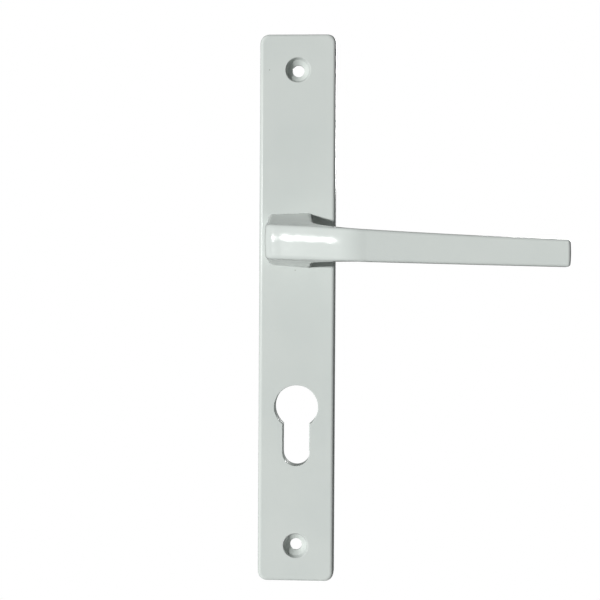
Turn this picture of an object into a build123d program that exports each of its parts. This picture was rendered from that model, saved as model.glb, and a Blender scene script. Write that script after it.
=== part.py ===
"""Sprung lever handle on a long, narrow backplate with a cut-out for a euro-profile cylinder.

Millimetres. The shapes are drawn in a working frame: X to the right, Y up and Z straight out from
the door, with the origin on the lever's axis at the door's face. The last lines turn them into the
part's frame, where +Z is up, -Y points out from the door and +X runs along the lever's grip.
"""
import math
import os

from build123d import *

# Backplate
plate_width = 32.0
plate_height = 230.0
plate_corner = 3.8
plate_edge = 1.6
front_wall = 2.7
side_wall = 2.5
rib = 2.0
axis_from_top = 86.5

# Fixing holes, one near each end of the plate
fixing_from_end = 15.0
fixing_hole = 5.0
fixing_head = 10.6
fixing_rim = 0.85
fixing_rim_depth = 1.8
fixing_relief = 8.0
fixing_relief_depth = 2.8
boss_wall = 3.0
edge_break = 0.3

# Euro-profile cut-out, below the lever's axis
cylinder_drop = 70.0
cylinder_round = 18.3
cylinder_slot = 11.3
cylinder_height = 34.0
cylinder_wall = 2.2
slot_lip = 0.5
slot_lip_depth = 1.5

# Lever
lever_reach = 108.6
lever_proud = 42.0
grip_depth = 9.0
grip_edge = 1.3
neck_gap = 0.2
neck_width = 19.2
neck_height = 23.0
neck_offset = -2.0
tip_round = 45.0
tip_edge = 1.25

# Spigot, bush and end play
spigot_bore = 15.0
flat_depth = 1.0
spigot_root = 2.0
running = 0.05
bush_wall = 1.2
bush_flange = 0.6
bush_lip = 0.6
collar_wall = 1.45

# Return mechanism: the lever turns through lever_travel degrees
lever_travel = 45.0
spring_radial = 1.6
spring_axial = 1.2
spring_whole_turns = 1
spring_anchor_angle = 270
spring_clear = 0.7
spring_leg = 3.0
tang_side = 1.4
cam_thick = 1.1
cam_arm_width = 6.0
cam_arm_reach = 15.6
cover_thick = 0.8
cover_recess = 0.3
cover_margin = 0.3
chamber_height = 34.0
post = 5.6
screw_core = 2.4
screw_head = 4.6
screw_length = 4.2
screw_inset = 2.7
recess_span = 2.8
recess_width = 0.65
recess_depth = 0.9
cover_corner = 2.0

# Rear stack on the spigot
washer_thick = 0.4
washer_width = 2.2
wave_count = 3
wave_swing = 0.15
ring_thick = 1.0
groove_depth = 0.35
ring_width = 2.2
ring_gap = 34.0
ring_lug = 1.6
ring_eye = 0.7
ring_taper = 0.45
spigot_end = 1.2

# Spindle
spindle_side = 8.0
spindle_length = 95.0
spindle_play = 0.075
spindle_chamfer = 0.5
socket_depth = 17.0

# Angles about the lever's axis
half_travel = lever_travel / 2
arm_angle = 90 + half_travel
spring_turns = spring_whole_turns + (spring_anchor_angle - arm_angle) / 360

# Depths, counted out from the door's face
cover_back = cover_recess
cover_front = cover_back + cover_thick
cam_back = cover_front + running
cam_front = cam_back + cam_thick
flange_back = cam_front + running
flange_front = flange_back + bush_flange
spring_height = spring_axial * (spring_turns + 1)
spring_back = cam_front + running
floor = spring_back + spring_height + running
plate_depth = round(floor + front_wall, 1)
floor = plate_depth - front_wall
sleeve_front = plate_depth - bush_lip
neck_back = plate_depth + neck_gap
grip_front = plate_depth + lever_proud
grip_back = grip_front - grip_depth
thrust_front = cover_back - running
thrust_back = thrust_front - washer_thick
wave_front = thrust_back - running
wave_back = wave_front - washer_thick - 2 * wave_swing
ring_front = wave_back - running
ring_back = ring_front - ring_thick
groove_front = ring_front + running
groove_back = ring_back - running
spigot_back = groove_back - spigot_end

# Radii about the lever's axis
spigot_r = spigot_bore / 2
groove_r = spigot_r - groove_depth
flats_x = spigot_r - flat_depth
washer_r = spigot_r + 2 * running
bush_bore_r = spigot_r + running
bush_r = bush_bore_r + bush_wall
collar_r = bush_r + collar_wall
spring_in_r = collar_r + spring_clear
spring_out_r = spring_in_r + spring_radial
spring_mid_r = (spring_in_r + spring_out_r) / 2
chamber_r = spring_out_r + spring_clear

# Places in the plane of the door
plate_top = axis_from_top
plate_bottom = plate_top - plate_height
plate_middle = (plate_top + plate_bottom) / 2
inner_width = plate_width - 2 * side_wall
fixing_y = [plate_top - fixing_from_end, plate_bottom + fixing_from_end]
boss_r = fixing_hole / 2 + boss_wall
slot_bottom = cylinder_round / 2 - cylinder_height - cylinder_drop
slot_length = -cylinder_drop - slot_bottom - cylinder_slot / 2
screw_x = inner_width / 2 - screw_inset
screw_y = chamber_height / 2 - screw_inset
screw_places = [(sx * screw_x, sy * screw_y) for sx in (-1, 1) for sy in (-1, 1)]


def block(x, y, z_low, z_high, width, height):
    """A box centred on x, y that runs from one depth to another."""
    return Pos(x, y, (z_low + z_high) / 2) * Box(width, height, z_high - z_low)


def rod(x, y, z_low, z_high, radius):
    """A cylinder along Z between two depths."""
    return Pos(x, y, (z_low + z_high) / 2) * Cylinder(radius, z_high - z_low)


def prism(sketch, z_low, z_high):
    """A flat outline given thickness between two depths."""
    return Pos(0, 0, z_low) * extrude(sketch, z_high - z_low)


def cone(x, y, z_low, z_high, r_low, r_high):
    """A cone along Z whose radius runs from r_low to r_high."""
    return Pos(x, y, (z_low + z_high) / 2) * Cone(r_low, r_high, z_high - z_low)


def euro_outline(grow):
    """The euro profile, enlarged all round by grow."""
    barrel = Circle(cylinder_round / 2 + grow)
    slot_width = cylinder_slot + 2 * grow
    shank = Pos(0, -slot_length / 2) * Rectangle(slot_width, slot_length)
    foot = Pos(0, -slot_length) * Circle(slot_width / 2)
    return Pos(0, -cylinder_drop) * (barrel + shank + foot)


def slot_lip_outline():
    """A narrow lip on the right wall of the slot, where the casting's two dies meet."""
    x = (cylinder_slot - slot_lip) / 2
    strip = Pos(x, -slot_length / 2) * Rectangle(slot_lip, slot_length)
    return Pos(0, -cylinder_drop) * (strip - Circle(cylinder_round / 2))


def stop_post():
    """Upper right corner post; its slanted face stops the cam's arm at the end of its travel."""
    reach = cam_arm_width / 2 + running
    far = 4 * plate_width
    half = inner_width / 2
    top = chamber_height / 2
    low = top - post
    corner = Pos(half / 2, (low + top) / 2) * Rectangle(half, top - low)
    beyond = Rot(0, 0, -half_travel) * Pos(reach + far / 2, 0) * Rectangle(far, far)
    return (corner & beyond) - Circle(chamber_r)


def plain_post():
    """Lower right corner post, a seat for the cover and a hole for its screw."""
    x = inner_width / 2 - post / 2
    y = post / 2 - chamber_height / 2
    return Pos(x, y) * Rectangle(post, post)


def spring_anchor():
    """Two lugs below the collar that hold the spring's fixed leg between them."""
    width = spring_radial + 2 * rib
    low = -chamber_height / 2
    high = -chamber_r
    lugs = Pos(0, (low + high) / 2) * Rectangle(width, high - low)
    gap = Pos(0, (low + high) / 2) * Rectangle(spring_radial + 4 * running, high - low)
    return lugs - gap


def make_backplate():
    """Hollow-backed casting with ribs, bosses, the collar and the lever's stops."""
    outline = Pos(0, plate_middle) * RectangleRounded(plate_width, plate_height, plate_corner)
    plate = prism(outline, 0, plate_depth)
    front = plate.faces().sort_by(Axis.Z)[-1]
    plate = fillet(front.edges(), plate_edge)

    inner_height = plate_height - 2 * side_wall
    inner_corner = plate_corner - side_wall
    hollow = Pos(0, plate_middle) * RectangleRounded(inner_width, inner_height, inner_corner)
    cavity = prism(hollow, 0, floor)

    chamber_half = chamber_height / 2
    upper_clear = fixing_y[0] - boss_r
    lower_clear = fixing_y[1] + boss_r
    crossbars = [chamber_half + rib / 2, -chamber_half - rib / 2, upper_clear, lower_clear]
    crossbars.append((chamber_half + upper_clear) / 2)
    crossbars.append((slot_bottom + lower_clear) / 2)
    for y in crossbars:
        cavity -= block(0, y, 0, floor, inner_width, rib)
    spines = [(chamber_half, upper_clear), (lower_clear, slot_bottom)]
    spines.append((cylinder_round / 2 - cylinder_drop, -chamber_half))
    for low, high in spines:
        cavity -= block(0, (low + high) / 2, 0, floor, rib, high - low)
    for y in fixing_y:
        cavity -= rod(0, y, 0, floor, boss_r)
    cavity -= prism(euro_outline(cylinder_wall), 0, floor)

    cavity -= rod(0, 0, flange_front, floor, collar_r)
    posts = stop_post() + plain_post()
    posts = posts + mirror(posts, Plane.YZ)
    cavity -= prism(posts, cover_front, floor)
    cavity -= prism(spring_anchor(), cam_front, floor)
    plate -= cavity

    plate -= rod(0, 0, 0, plate_depth, spigot_r + 4 * running)
    plate -= rod(0, 0, 0, sleeve_front, bush_r)
    opening = euro_outline(0)
    plate -= prism(opening, slot_lip_depth, plate_depth)
    plate -= prism(opening - slot_lip_outline(), 0, slot_lip_depth)
    rim_r = fixing_head / 2 - fixing_rim
    rim_z = plate_depth - fixing_rim_depth
    seat_z = rim_z - (rim_r - fixing_hole / 2)
    for y in fixing_y:
        plate -= rod(0, y, 0, plate_depth, fixing_hole / 2)
        plate -= rod(0, y, 0, fixing_relief_depth, fixing_relief / 2)
        plate -= cone(0, y, seat_z, rim_z, fixing_hole / 2, rim_r)
        plate -= cone(0, y, rim_z, plate_depth, rim_r, fixing_head / 2)
    face = plate.faces().sort_by(Axis.Z)[-1]
    rims = [wire for wire in face.inner_wires() if abs(wire.center().Y) > chamber_half]
    plate = fillet([edge for rim in rims for edge in rim.edges()], edge_break)
    for x, y in screw_places:
        plate -= cover_screw(x, y, running)
    return plate


def cover_screw(x, y, grow):
    """A small countersunk screw whose head is flush with the back of the cover."""
    core_r = screw_core / 2 + grow
    head_r = screw_head / 2 + grow
    head_end = cover_back + head_r - core_r
    shank = rod(x, y, cover_back, cover_back + screw_length + grow, core_r)
    return shank + cone(x, y, cover_back, head_end, head_r, core_r)


def neck_section(front, back, front_span, back_span, corner, bulges, crest):
    """A slice across the lever: a four-sided outline with round corners and bulging ends.

    front and back are the slice's two ends as (x, depth), each span is the top and the bottom
    of the slice at that end, bulges are how far the two ends stand out, and crest is how far
    above the middle the front end stands out most.
    """
    run = math.dist(front, back)
    middle = ((front[0] + back[0]) / 2, 0, (front[1] + back[1]) / 2)
    along = ((front[0] - back[0]) / run, 0, (front[1] - back[1]) / run)
    plane = Plane(origin=middle, x_dir=along, z_dir=(-along[2], 0, along[0]))
    points = []
    radii = []
    ends = ((1, front_span, bulges[0], crest), (-1, back_span, bulges[1], 0))
    for side, span, bulge, lift in ends:
        first, last = span[::side]
        crown = (first + last) / 2 + lift
        halves = (abs(first - crown), abs(last - crown))
        turn = bulge / halves[0] + bulge / halves[1]
        points.append((side * (run / 2 - bulge), first))
        points.append((side * run / 2, crown))
        points.append((side * (run / 2 - bulge), last))
        radii += [corner, (min(halves) - corner) * 1.2 / turn, corner]
    outline = FilletPolyline(*points, radius=radii, close=True)
    return plane * make_face(outline.edges())


def make_lever():
    """Neck, elbow and grip in one casting, with the spigot that turns in the plate."""
    rise = lever_proud - neck_gap
    back_rise = grip_back - neck_back
    left = neck_offset - neck_width / 2
    right = neck_offset + neck_width / 2
    top = neck_height / 2
    # Front end (x, share of the rise), back end, top and bottom at the front, then at the back,
    # corner radius, the two bulges and the crest
    slices = [
        ((left - 0.9, 0.0), (right, 0.0), (top - 0.5, 1.4 - top), (top, -top), 2.1, (0.4, 1.4), 0.0),
        ((left - 0.8, 0.06), (right, 0.05), (10.75, -9.95), (11.15, -11.3), 2.1, (0.4, 1.4), 0.0),
        ((left - 0.65, 0.15), (right + 0.05, 0.13), (10.1, -9.7), (10.6, -11.0), 2.1, (0.4, 1.3), 0.0),
        ((left - 0.4, 0.30), (right + 0.2, 0.27), (8.9, -9.3), (9.7, -10.6), 2.0, (0.4, 1.2), 0.1),
        ((left - 0.05, 0.45), (right + 0.4, 0.41), (7.8, -8.8), (8.8, -10.3), 2.0, (0.4, 1.1), 0.3),
        ((left + 0.3, 0.60), (right + 0.7, 0.55), (6.8, -8.4), (7.95, -10.0), 1.9, (0.4, 1.0), 0.7),
        ((left + 0.9, 0.735), (right + 1.2, 0.69), (5.8, -8.1), (7.2, -9.8), 1.8, (0.5, 0.8), 1.3),
        ((left + 6.0, 0.789), (right + 2.5, 0.83), (5.3, -8.1), (6.4, -9.6), 1.7, (0.6, 0.5), 2.0),
        ((left + 12.5, 0.838), (right + 5.0, 0.93), (5.0, -8.3), (5.6, -9.4), 1.6, (0.6, 0.3), 2.0),
        ((left + 19.0, 0.887), (right + 8.4, 0.98), (4.75, -8.5), (5.1, -9.3), 1.5, (0.6, 0.15), 2.0),
        ((left + 25.5, 0.936), (right + 12.2, 0.997), (4.4, -8.8), (4.6, -9.2), 1.4, (0.5, 0.08), 2.0),
        ((left + 31.5, 0.980), (right + 16.0, 1.0), (4.1, -8.9), (4.2, -9.1), 1.3, (0.35, 0.05), 1.5),
        ((left + 36.0, 1.0), (right + 19.0, 1.0), (3.85, -9.0), (3.9, -9.1), 1.3, (0.15, 0.05), 0.8),
        ((left + 41.0, 1.0), (right + 21.8, 1.0), (3.55, -9.1), (3.6, -9.2), 1.3, (0.05, 0.05), 0.0),
    ]
    sections = []
    for front, back, *shape in slices:
        front_at = (front[0], neck_back + rise * front[1])
        back_at = (back[0], neck_back + back_rise * back[1])
        sections.append(neck_section(front_at, back_at, *shape))
    elbow = loft(sections)

    start = slices[-1][0][0]
    grip_slices = [
        (start, slices[-1][2], slices[-1][3]),
        ((start + lever_reach) / 2, (1.45, -9.95), (1.55, -10.05)),
        (lever_reach, (-0.15, -10.75), (-0.05, -10.85)),
    ]
    sections = []
    for x, front_span, back_span in grip_slices:
        at = ((x, grip_front), (x, grip_back))
        sections.append(neck_section(*at, front_span, back_span, grip_edge, (0.05, 0.05), 0.0))
    grip = loft(sections)
    tip_middle = (grip_slices[-1][1][0] + grip_slices[-1][1][1]) / 2
    pivot = lever_reach - tip_round
    round_end = rod(pivot, tip_middle, grip_back, grip_front, tip_round)
    straight = (start + pivot) / 2
    width = pivot - start
    grip &= round_end + block(straight, tip_middle, grip_back, grip_front, width, 2 * tip_round)
    end = grip.faces().sort_by(Axis.X)[-1]
    grip = fillet(end.edges(), tip_edge)

    lever = elbow + grip
    lever += rod(0, 0, spigot_back, neck_back + spigot_root, spigot_r)
    for side in (-1, 1):
        x = side * (flats_x + spigot_r)
        lever -= block(x, 0, spigot_back, cam_front + running, 2 * spigot_r, 4 * spigot_r)
    groove = rod(0, 0, groove_back, groove_front, 2 * spigot_r)
    lever -= groove - rod(0, 0, groove_back, groove_front, groove_r)
    socket = spindle_side + 2 * spindle_play
    lever -= block(0, 0, spigot_back, neck_back + socket_depth, socket, socket)
    return lever


def make_bush():
    """Flanged nylon bush, pushed into the plate's collar from behind."""
    bush = rod(0, 0, flange_front, sleeve_front, bush_r)
    bush += rod(0, 0, flange_back, flange_front, collar_r)
    return bush - rod(0, 0, flange_back, sleeve_front, bush_bore_r)


def around(radius, angle):
    """A place on a circle about the lever's axis."""
    turn = math.radians(angle)
    return radius * math.cos(turn), radius * math.sin(turn)


def spigot_hole(clear):
    """The spigot's outline with its two flats, enlarged by clear."""
    across = 2 * (flats_x + clear)
    return Circle(spigot_r + clear) & Rectangle(across, 4 * spigot_r)


def make_cam_plate():
    """Driver on the spigot's flats; its arm carries the spring's tang and meets the stops."""
    arm = Pos(0, cam_arm_reach / 2) * Rectangle(cam_arm_width, cam_arm_reach)
    arm = Rot(0, 0, half_travel) * arm
    disc = Circle(spring_out_r) + (arm & Circle(cam_arm_reach))
    tang_r = tang_side / math.sqrt(2) + 2 * running
    tang = Pos(*around(spring_mid_r, arm_angle)) * Circle(tang_r)
    return prism(disc - spigot_hole(running) - tang, cam_back, cam_front)


def make_spring():
    """Flat-wire torsion spring: a fixed leg below, and a tang that goes into the cam's arm."""
    coil_back = spring_back + spring_axial / 2
    coil_rise = spring_axial * spring_turns
    path = Helix(spring_axial, coil_rise, spring_mid_r)
    wire = Plane(origin=path @ 0, z_dir=path % 0, x_dir=(1, 0, 0))
    section = wire * Rectangle(spring_radial, spring_axial - 2 * running)
    coil = sweep(section, path=path, is_frenet=True)
    coil = Pos(0, 0, coil_back) * Rot(0, 0, arm_angle) * coil
    leg_front = coil_back + coil_rise + spring_axial / 2 - running
    leg_length = spring_radial / 2 + spring_leg
    leg_back = leg_front - spring_axial + 2 * running
    leg = block(spring_mid_r + leg_length / 2, 0, leg_back, leg_front, leg_length, spring_radial)
    x, y = around(spring_mid_r, arm_angle)
    tang = block(x, y, cam_back + running, coil_back, tang_side, tang_side)
    return coil + Rot(0, 0, spring_anchor_angle) * leg + tang


def make_cover():
    """Pressed steel plate that closes the chamber; it rests on the four corner posts."""
    width = inner_width - 2 * cover_margin
    height = chamber_height - 2 * cover_margin
    cover = prism(RectangleRounded(width, height, cover_corner), cover_back, cover_front)
    cover -= rod(0, 0, cover_back, cover_front, spigot_r + 6 * running)
    for x, y in screw_places:
        cover -= cover_screw(x, y, running)
    return cover


def make_cover_screws():
    """Four identical screws, each with a cross recess in its head."""
    screws = []
    depth = cover_back + recess_depth
    for x, y in screw_places:
        screw = cover_screw(x, y, 0)
        screw -= block(x, y, cover_back, depth, recess_span, recess_width)
        screw -= block(x, y, cover_back, depth, recess_width, recess_span)
        screws.append(screw)
    return Compound(children=screws)


def make_thrust_washer():
    """A plain round washer on the spigot, behind the cover."""
    outer = rod(0, 0, thrust_back, thrust_front, washer_r + washer_width)
    return outer - rod(0, 0, thrust_back, thrust_front, washer_r)


def make_wave_washer():
    """A thin spring washer bent into waves, so that it takes up the play along the spigot."""
    rims = []
    for radius in (washer_r, washer_r + washer_width):
        points = []
        for angle in range(0, 360, 15):
            swing = wave_swing * math.cos(math.radians(wave_count * angle))
            points.append((*around(radius, angle), wave_back + wave_swing + swing))
        rims.append(Wire([Edge.make_spline(points, periodic=True)]))
    surface = Face.make_surface_from_curves(*rims)
    return extrude(surface, washer_thick, dir=(0, 0, 1))


def make_ring():
    """Retaining ring, open below, with a pierced lug each side of the opening."""
    bore = groove_r + running
    ring = Pos(0, ring_taper) * Circle(bore + ring_width - ring_taper)
    lug_turn = ring_gap / 2 + math.degrees(ring_lug / bore) * 0.6
    holes = []
    for side in (-1, 1):
        x, y = around(bore + ring_lug, 270 + side * lug_turn)
        ring += Pos(x, y) * Circle(ring_lug)
        holes.append(Pos(x, y) * Circle(ring_eye))
    ring -= Circle(bore)
    for hole in holes:
        ring -= hole
    spread = math.tan(math.radians(ring_gap / 2)) * 2 * bore
    far = Polygon((0, 0), (-spread, -2 * bore), (spread, -2 * bore), align=None)
    return prism(ring - far, ring_back, ring_front)


def make_spindle():
    """Square steel bar from the lever's socket back through the lock."""
    front = neck_back + socket_depth - running
    bar = block(0, 0, front - spindle_length, front, spindle_side, spindle_side)
    ends = bar.faces().filter_by(Axis.Z).edges()
    return chamfer(ends, spindle_chamfer)


nodes = {
    "backplate": make_backplate,
    "lever_handle": make_lever,
    "lever_bush": make_bush,
    "cam_plate": make_cam_plate,
    "return_spring": make_spring,
    "mechanism_cover": make_cover,
    "cover_screws": make_cover_screws,
    "thrust_washer": make_thrust_washer,
    "wave_washer": make_wave_washer,
    "retaining_ring": make_ring,
    "spindle": make_spindle,
}

os.makedirs("parts", exist_ok=True)
for name, make in nodes.items():
    solid = Plane.XZ.location * make()
    export_step(solid, f"parts/{name}.step")
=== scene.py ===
import math

import bmesh
import bpy
from mathutils import Matrix, Vector


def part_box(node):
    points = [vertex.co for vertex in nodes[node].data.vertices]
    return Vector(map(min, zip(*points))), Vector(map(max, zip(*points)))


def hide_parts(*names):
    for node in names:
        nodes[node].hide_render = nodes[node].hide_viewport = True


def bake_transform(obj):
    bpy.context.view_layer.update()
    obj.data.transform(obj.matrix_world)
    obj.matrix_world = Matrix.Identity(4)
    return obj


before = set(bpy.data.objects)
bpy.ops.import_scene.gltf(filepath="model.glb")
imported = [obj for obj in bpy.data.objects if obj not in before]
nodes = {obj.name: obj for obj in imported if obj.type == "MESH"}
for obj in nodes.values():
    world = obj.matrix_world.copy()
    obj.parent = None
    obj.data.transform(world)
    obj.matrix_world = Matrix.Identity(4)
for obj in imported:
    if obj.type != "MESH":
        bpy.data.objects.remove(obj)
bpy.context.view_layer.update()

mm = 0.001

# ---------------------------------------------------------------------------------------------
# Backplate
# One zinc die-casting, hollow behind, with stoved satin paint sprayed on from the front. The
# paint goes through the holes and dusts the first few millimetres of the hollow; the deep faces
# stay bare, grey and slightly streaked where the metal flowed.

paint_colour = (0.595, 0.632, 0.607, 1.0)
paint_shade = (0.570, 0.610, 0.588, 1.0)
paint_mirror = (0.10, 0.10, 0.10, 1.0)
dust_colour = (0.10, 0.085, 0.07, 1.0)
dust_spacing = 11 * mm
dust_rarity = 0.86
dust_strength = 0.8
cloud_size = 30 * mm
zinc_colour = (0.44, 0.45, 0.455, 1.0)
zinc_oxide = (0.27, 0.275, 0.28, 1.0)
flow_size = 5 * mm
flow_stretch = (1.0, 1.0, 0.22)
peel_size, peel_depth = 2.2 * mm, 0.018 * mm
fine_peel_size, fine_peel_depth = 0.7 * mm, 0.0035 * mm
cast_skin_size, cast_skin_depth = 0.35 * mm, 0.03 * mm


def new_finish(name):
    """A material with only its shader and output, and the object's own coordinates."""
    finish = bpy.data.materials.new(name)
    finish.use_nodes = True
    tree = finish.node_tree
    place = tree.nodes.new("ShaderNodeTexCoord").outputs["Object"]
    return finish, tree, tree.nodes["Principled BSDF"], place


def add(tree, kind, sockets, **settings):
    """A node of one kind; a socket is given a number, a colour or another node's output."""
    node = tree.nodes.new("ShaderNode" + kind)
    for name, value in settings.items():
        setattr(node, name, value)
    for name, value in sockets.items():
        if isinstance(value, bpy.types.NodeSocket):
            tree.links.new(value, node.inputs[name])
        else:
            node.inputs[name].default_value = value
    return node


def calc(tree, operation, *values):
    """One sum on numbers; the result is the node's output."""
    return add(tree, "Math", dict(enumerate(values)), operation=operation).outputs[0]


def product(tree, *values):
    """All the values multiplied together."""
    total = values[0]
    for value in values[1:]:
        total = calc(tree, "MULTIPLY", total, value)
    return total


def away(tree, across, along):
    """The length of the line that goes so far across and so far along."""
    squares = [calc(tree, "POWER", side, 2.0) for side in (across, along)]
    return calc(tree, "SQRT", calc(tree, "ADD", *squares))


def grain(tree, place, size, detail=2.0, stretch=(1, 1, 1)):
    """Soft random marks of about the given size in metres, from 0 to 1."""
    turned = add(tree, "Mapping", {"Vector": place, "Scale": stretch})
    sockets = {"Vector": turned.outputs[0], "Scale": 1 / size, "Detail": detail}
    return add(tree, "TexNoise", sockets).outputs["Fac"]


def ramp(tree, value, low, high, start=0.0, end=1.0):
    """The value between low and high, turned into start to end without going past either."""
    sockets = {"Value": value, "From Min": low, "From Max": high, "To Min": start, "To Max": end}
    return add(tree, "MapRange", sockets).outputs[0]


def blend_colour(tree, share, first, second):
    """The first colour where share is 0 and the second where it is 1."""
    return add(tree, "Mix", {0: share, 6: first, 7: second}, data_type="RGBA").outputs[2]


def relief(tree, heights):
    """Bumps on bumps: a list of height and depth in metres, the largest first."""
    normal = None
    for height, depth in heights:
        sockets = {"Height": height, "Distance": depth, "Strength": 1.0}
        if normal is not None:
            sockets["Normal"] = normal
        normal = add(tree, "Bump", sockets).outputs["Normal"]
    return normal


def dust_specks(tree, place):
    """1 on a few small specks caught in the paint, 0 elsewhere."""
    cells = add(tree, "TexVoronoi", {"Vector": place, "Scale": 1 / dust_spacing})
    chance = add(tree, "SeparateColor", {0: cells.outputs["Color"]}).outputs[0]
    picked = calc(tree, "GREATER_THAN", chance, dust_rarity)
    near = ramp(tree, cells.outputs["Distance"], 0.012, 0.022, 1.0, 0.0)
    return calc(tree, "MULTIPLY", picked, near)


def paint_and_zinc(name, bare_share):
    """Satin paint over die-cast zinc; bare_share says where the metal shows, from 0 to 1."""
    finish, tree, shader, place = new_finish(name)
    bare = bare_share(tree, place)

    cloud = grain(tree, place, cloud_size)
    paint = blend_colour(tree, ramp(tree, cloud, 0.35, 0.65), paint_shade, paint_colour)
    dust = calc(tree, "MULTIPLY", dust_specks(tree, place), dust_strength)
    paint = blend_colour(tree, dust, paint, dust_colour)

    flow = grain(tree, place, flow_size, 5.0, flow_stretch)
    zinc = blend_colour(tree, ramp(tree, flow, 0.38, 0.66), zinc_oxide, zinc_colour)
    colour = blend_colour(tree, bare, paint, zinc)
    tree.links.new(colour, shader.inputs["Base Color"])

    peel = grain(tree, place, peel_size, 1.0)
    fine_peel = grain(tree, place, fine_peel_size)
    skin = calc(tree, "MULTIPLY", grain(tree, place, cast_skin_size, 3.0), bare)
    heights = [(peel, peel_depth), (fine_peel, fine_peel_depth), (skin, cast_skin_depth)]
    tree.links.new(relief(tree, heights), shader.inputs["Normal"])

    paint_rough = ramp(tree, fine_peel, 0.3, 0.7, 0.13, 0.17)
    zinc_rough = ramp(tree, flow, 0.35, 0.7, 0.42, 0.62)
    rough = add(tree, "Mix", {0: bare, 2: paint_rough, 3: zinc_rough}).outputs[0]
    tree.links.new(rough, shader.inputs["Roughness"])
    tree.links.new(calc(tree, "MULTIPLY", bare, 0.85), shader.inputs["Metallic"])
    shader.inputs["Specular Tint"].default_value = paint_mirror
    return finish


plate_low, plate_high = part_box("backplate")
plate_middle_z = (plate_low.z + plate_high.z) / 2
plate_half_height = (plate_high.z - plate_low.z) / 2
side_wall = 2.5 * mm
front_wall = 2.7 * mm
paint_reach = 3.0 * mm
paint_fringe = 4 * mm
round_radius = 9.15 * mm
round_z = -70.0 * mm
slot_radius = 5.65 * mm
cut_height = 34.0 * mm
slot_foot_z = round_z + round_radius - cut_height + slot_radius
painted_rim = 0.5 * mm
screw_from_end = 15.0 * mm
screw_radius = 5.3 * mm
relief_depth = 2.8 * mm
overlap = 0.1 * mm


def plate_bare(tree, place):
    """The hollow's faces, but not the holes' own walls, fading out towards the door."""
    axes = add(tree, "SeparateXYZ", {0: place}).outputs
    side = calc(tree, "ABSOLUTE", axes[0])
    along = calc(tree, "ABSOLUTE", calc(tree, "SUBTRACT", axes[2], plate_middle_z))
    inside = calc(tree, "LESS_THAN", side, plate_high.x - side_wall + 2 * overlap)
    within = calc(tree, "LESS_THAN", along, plate_half_height - side_wall + 2 * overlap)
    behind = calc(tree, "GREATER_THAN", axes[1], plate_low.y + front_wall - 3 * overlap)

    down = calc(tree, "SUBTRACT", axes[2], round_z)
    from_round = calc(tree, "SUBTRACT", away(tree, side, down), round_radius)
    nearest = calc(tree, "MINIMUM", calc(tree, "MAXIMUM", axes[2], slot_foot_z), round_z)
    down = calc(tree, "SUBTRACT", axes[2], nearest)
    from_slot = calc(tree, "SUBTRACT", away(tree, side, down), slot_radius)
    from_cut = calc(tree, "MINIMUM", from_round, from_slot)
    off_cut = calc(tree, "GREATER_THAN", from_cut, painted_rim)

    screw_out = plate_half_height - screw_from_end
    from_screw = away(tree, side, calc(tree, "SUBTRACT", along, screw_out))
    seat = calc(tree, "LESS_THAN", from_screw, screw_radius)
    ahead = calc(tree, "LESS_THAN", axes[1], -relief_depth - overlap)
    off_seat = calc(tree, "SUBTRACT", 1.0, calc(tree, "MULTIPLY", seat, ahead))

    ragged = calc(tree, "SUBTRACT", grain(tree, place, 1.2 * mm, 4.0), 0.5)
    depth = calc(tree, "ADD", axes[1], calc(tree, "MULTIPLY", ragged, paint_fringe))
    deep = ramp(tree, depth, -3 * overlap, -paint_reach)
    return product(tree, inside, within, behind, off_cut, off_seat, deep)


nodes["backplate"].data.materials[0] = paint_and_zinc("plate_paint", plate_bare)

# ---------------------------------------------------------------------------------------------
# Lever handle
# Neck, elbow and grip are one zinc die-casting, linished and given the same stoved paint. The
# spigot that turns in the plate was masked, and is bare behind the neck's foot.

neck_back = -8.2 * mm


def lever_bare(tree, place):
    """Everything behind the neck's foot is bare metal."""
    depth = add(tree, "SeparateXYZ", {0: place}).outputs[1]
    return ramp(tree, depth, neck_back + 0.1 * mm, neck_back + 0.3 * mm)


nodes["lever_handle"].data.materials[0] = paint_and_zinc("lever_paint", lever_bare)

# ---------------------------------------------------------------------------------------------
# Lever bush
# Natural nylon, injection moulded: milky, slightly translucent and never quite smooth. It is
# pushed into the plate's collar from behind, and the spigot turns in it.

nylon_colour = (0.78, 0.765, 0.70, 1.0)
nylon_shade = (0.70, 0.68, 0.60, 1.0)


def moulded_nylon(name):
    """Milky nylon with a fine, dull spark from the mould."""
    finish, tree, shader, place = new_finish(name)
    cloud = grain(tree, place, 6 * mm, 3.0)
    colour = blend_colour(tree, ramp(tree, cloud, 0.3, 0.7), nylon_shade, nylon_colour)
    tree.links.new(colour, shader.inputs["Base Color"])
    spark = grain(tree, place, 0.25 * mm)
    tree.links.new(ramp(tree, spark, 0.3, 0.7, 0.42, 0.56), shader.inputs["Roughness"])
    tree.links.new(relief(tree, [(spark, 0.006 * mm)]), shader.inputs["Normal"])
    shader.inputs["Subsurface Weight"].default_value = 0.25
    shader.inputs["Subsurface Radius"].default_value = (1.0, 0.9, 0.7)
    shader.inputs["Subsurface Scale"].default_value = 0.6 * mm
    return finish


nylon = moulded_nylon("moulded_nylon")
nodes["lever_bush"].data.materials[0] = nylon

# ---------------------------------------------------------------------------------------------
# Cam plate
# Blanked from cold-rolled steel strip and bright zinc plated. The strip's rolling lines run along
# the blank, and the passivation leaves a faint blue and straw cast. It sits on the spigot's flats.

plating_light = (0.66, 0.675, 0.69, 1.0)
plating_blue = (0.50, 0.545, 0.60, 1.0)
plating_straw = (0.62, 0.59, 0.50, 1.0)


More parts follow.
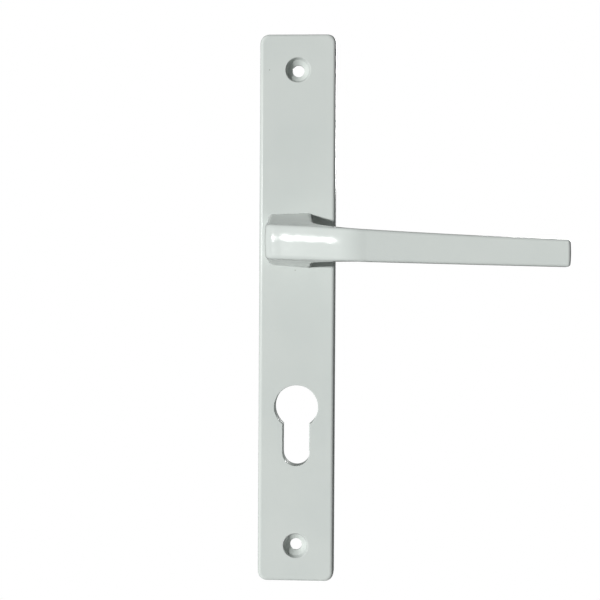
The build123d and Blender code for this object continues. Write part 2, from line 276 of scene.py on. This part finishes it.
def plated_steel(name, rolled, rough_low, rough_high):
    """Zinc plate on steel; rolled stretches the fine lines along one axis."""
    finish, tree, shader, place = new_finish(name)
    cast = ramp(tree, grain(tree, place, 9 * mm, 3.0), 0.42, 0.75)
    straw = ramp(tree, grain(tree, place, 14 * mm, 2.0, (1.0, 0.7, 1.3)), 0.55, 0.8, 0.0, 0.6)
    colour = blend_colour(tree, cast, plating_light, plating_blue)
    colour = blend_colour(tree, straw, colour, plating_straw)
    tree.links.new(colour, shader.inputs["Base Color"])
    lines = grain(tree, place, 0.5 * mm, 4.0, rolled)
    spangle = grain(tree, place, 0.3 * mm)
    shares = [calc(tree, "MULTIPLY", lines, 0.7), calc(tree, "MULTIPLY", spangle, 0.3)]
    rough = ramp(tree, calc(tree, "ADD", *shares), 0.35, 0.65, rough_low, rough_high)
    tree.links.new(rough, shader.inputs["Roughness"])
    heights = [(lines, 0.012 * mm), (spangle, 0.004 * mm)]
    tree.links.new(relief(tree, heights), shader.inputs["Normal"])
    shader.inputs["Metallic"].default_value = 1.0
    return finish


rolled_upright = (1.0, 1.0, 0.05)
nodes["cam_plate"].data.materials[0] = plated_steel("plated_cam", rolled_upright, 0.30, 0.46)

# ---------------------------------------------------------------------------------------------
# Return spring
# Flat spring steel, coiled cold, then tempered straw-brown to blue and oiled. The fine lines run
# along the wire. The coil winds up between its leg in the plate and its tang in the cam.

spring_blue = (0.13, 0.15, 0.19, 1.0)
spring_brown = (0.27, 0.22, 0.17, 1.0)


def tempered_steel(name, dark, light, rough_low, rough_high):
    """Spring steel whose colour drifts between two temper colours."""
    finish, tree, shader, place = new_finish(name)
    axes = add(tree, "SeparateXYZ", {0: place}).outputs
    across = add(tree, "CombineXYZ", {0: axes[0], 2: axes[2]}).outputs[0]
    radius = add(tree, "VectorMath", {0: across}, operation="LENGTH").outputs["Value"]
    track = add(tree, "CombineXYZ", {0: radius, 1: axes[1]}).outputs[0]
    drawn = grain(tree, track, 0.15 * mm, 3.0)
    temper = ramp(tree, grain(tree, place, 7 * mm, 3.0), 0.35, 0.68)
    tree.links.new(blend_colour(tree, temper, dark, light), shader.inputs["Base Color"])
    rough = ramp(tree, drawn, 0.3, 0.7, rough_low, rough_high)
    tree.links.new(rough, shader.inputs["Roughness"])
    tree.links.new(relief(tree, [(drawn, 0.006 * mm)]), shader.inputs["Normal"])
    shader.inputs["Metallic"].default_value = 1.0
    return finish


coil = nodes["return_spring"]
coil_shape = coil.data.copy()
coil_shape.transform(coil.matrix_world)
spring_finish = tempered_steel("tempered_spring", spring_blue, spring_brown, 0.26, 0.42)
coil_shape.materials[0] = spring_finish
spring = bpy.data.objects.new("spring_coil", coil_shape)
bpy.context.collection.objects.link(spring)
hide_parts("return_spring")
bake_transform(spring)

# ---------------------------------------------------------------------------------------------
# Mechanism cover
# Blanked from the same plated strip as the cam plate, with the rolling lines across it. It closes
# the spring's chamber from behind.

rolled_across = (0.05, 1.0, 1.0)
cover_finish = plated_steel("plated_cover", rolled_across, 0.26, 0.42)
nodes["mechanism_cover"].data.materials[0] = cover_finish

# ---------------------------------------------------------------------------------------------
# Cover screws
# Four small countersunk machine screws, cold headed and thread rolled, zinc plated. They hold the
# cover to the four posts round the spring's chamber.

not_rolled = (1.0, 1.0, 1.0)
nodes["cover_screws"].data.materials[0] = plated_steel("plated_screws", not_rolled, 0.22, 0.36)

# ---------------------------------------------------------------------------------------------
# Thrust washer
# A thin flat ring moulded from the same nylon as the bush. It lies loose on the spigot behind the
# cover and keeps the turning steel off it.

nodes["thrust_washer"].data.materials[0] = nylon

# ---------------------------------------------------------------------------------------------
# Wave washer
# Thin spring steel bent into three waves, tempered only to straw and so brighter than the return
# spring. It is squeezed between the thrust washer and the retaining ring.

wave_light = (0.40, 0.39, 0.37, 1.0)
wave_finish = tempered_steel("tempered_washer", spring_brown, wave_light, 0.24, 0.38)
nodes["wave_washer"].data.materials[0] = wave_finish

# ---------------------------------------------------------------------------------------------
# Retaining ring
# Stamped from spring steel, phosphated and oiled: nearly black, with a soft crystalline skin. It
# snaps into the groove at the end of the spigot and holds the lever in the plate.

phosphate_black = (0.035, 0.034, 0.036, 1.0)
phosphate_grey = (0.085, 0.083, 0.08, 1.0)


def phosphated(name):
    """Oiled phosphate: fine crystals, and patches where the oil lies thicker."""
    finish, tree, shader, place = new_finish(name)
    crystal = grain(tree, place, 0.35 * mm, 4.0)
    patch = grain(tree, place, 4 * mm)
    shares = [calc(tree, "MULTIPLY", crystal, 0.6), calc(tree, "MULTIPLY", patch, 0.4)]
    mixed = ramp(tree, calc(tree, "ADD", *shares), 0.4, 0.62)
    colour = blend_colour(tree, mixed, phosphate_black, phosphate_grey)
    tree.links.new(colour, shader.inputs["Base Color"])
    tree.links.new(ramp(tree, crystal, 0.3, 0.7, 0.34, 0.55), shader.inputs["Roughness"])
    tree.links.new(relief(tree, [(crystal, 0.008 * mm)]), shader.inputs["Normal"])
    shader.inputs["Metallic"].default_value = 0.6
    return finish


nodes["retaining_ring"].data.materials[0] = phosphated("phosphated_ring")

# ---------------------------------------------------------------------------------------------
# Spindle
# Square bar drawn cold through a die, cropped and chamfered, then zinc plated. The die's fine
# scratches run along the bar. It slides into the spigot's square socket.

drawn_along = (1.0, 0.02, 1.0)
nodes["spindle"].data.materials[0] = plated_steel("plated_spindle", drawn_along, 0.24, 0.40)

# ---------------------------------------------------------------------------------------------
# Studio
# A small, hard key light from the left, almost level, lights the front. Soft boxes light the back
# and the upward faces, the room is dark but for a little fill, and the background is plain white.

camera_lens = 84.7
camera_place = Matrix((
    (0.99831, -0.00656, 0.05759, 0.0355),
    (0.05769, 0.01675, -0.99819, -0.6000),
    (0.00558, 0.99983, 0.01710, -0.0148),
    (0.0, 0.0, 0.0, 1.0),
))
camera_data = bpy.data.cameras.new("camera")
camera_data.lens = camera_lens
camera = bpy.data.objects.new("camera", camera_data)
camera.matrix_world = camera_place
bpy.context.collection.objects.link(camera)
bpy.context.scene.camera = camera


def softbox(name, place, target, width, height, power):
    """A rectangular lamp at a place, turned to a target; its long side stays level."""
    data = bpy.data.lights.new(name, "AREA")
    data.shape = "RECTANGLE"
    data.size = width
    data.size_y = height
    data.energy = power
    lamp = bpy.data.objects.new(name, data)
    lamp.location = place
    aim = Vector(target) - Vector(place)
    lamp.rotation_euler = aim.to_track_quat("-Z", "Y").to_euler()
    lamp.visible_camera = False
    bpy.context.collection.objects.link(lamp)


key_aim = Vector((0.63, 0.776, -0.045))
key_strength = 3.7
key_spread = math.radians(4.5)
key_data = bpy.data.lights.new("key", "SUN")
key_data.energy = key_strength
key_data.angle = key_spread
key = bpy.data.objects.new("key", key_data)
key.rotation_euler = key_aim.to_track_quat("-Z", "Y").to_euler()
bpy.context.collection.objects.link(key)
softbox("back", (0.55, 1.2, 0.35), (0.0, 0.0, -0.02), 0.7, 0.5, 18.0)
softbox("above", (-0.05, -0.16, 0.8), (0.0, -0.03, 0.0), 0.25, 0.15, 0.5)

white_colour = (1.0, 1.0, 1.0, 1.0)
fill_strength = 0.03
world = bpy.data.worlds.new("room")
world.use_nodes = True
room = world.node_tree
fill = room.nodes["Background"]
fill.inputs["Color"].default_value = white_colour
fill.inputs["Strength"].default_value = fill_strength
backdrop = add(room, "Background", {"Color": white_colour, "Strength": 1.0})
seen = add(room, "LightPath", {}).outputs["Is Camera Ray"]
chosen = add(room, "MixShader", {0: seen, 1: fill.outputs[0], 2: backdrop.outputs[0]})
room.links.new(chosen.outputs[0], room.nodes["World Output"].inputs["Surface"])
bpy.context.scene.world = world
bpy.context.scene.view_settings.view_transform = "Standard"

floor_half = 0.55
floor_z = -0.30
floor_shape = bmesh.new()
bmesh.ops.create_grid(floor_shape, x_segments=1, y_segments=1, size=floor_half)
bmesh.ops.translate(floor_shape, vec=(0.0, 0.0, floor_z), verts=floor_shape.verts)
floor_mesh = bpy.data.meshes.new("floor")
floor_shape.to_mesh(floor_mesh)
floor_shape.free()
floor = bpy.data.objects.new("floor", floor_mesh)
bpy.context.collection.objects.link(floor)
floor_finish, floor_tree, floor_shader, floor_at = new_finish("floor_paper")
floor_tint = ramp(floor_tree, grain(floor_tree, floor_at, 0.2), 0.3, 0.7, 0.80, 0.84)
floor_colour = add(floor_tree, "CombineColor", {0: floor_tint, 1: floor_tint, 2: floor_tint})
floor_tree.links.new(floor_colour.outputs[0], floor_shader.inputs["Base Color"])
floor_shader.inputs["Roughness"].default_value = 0.9
floor_mesh.materials.append(floor_finish)
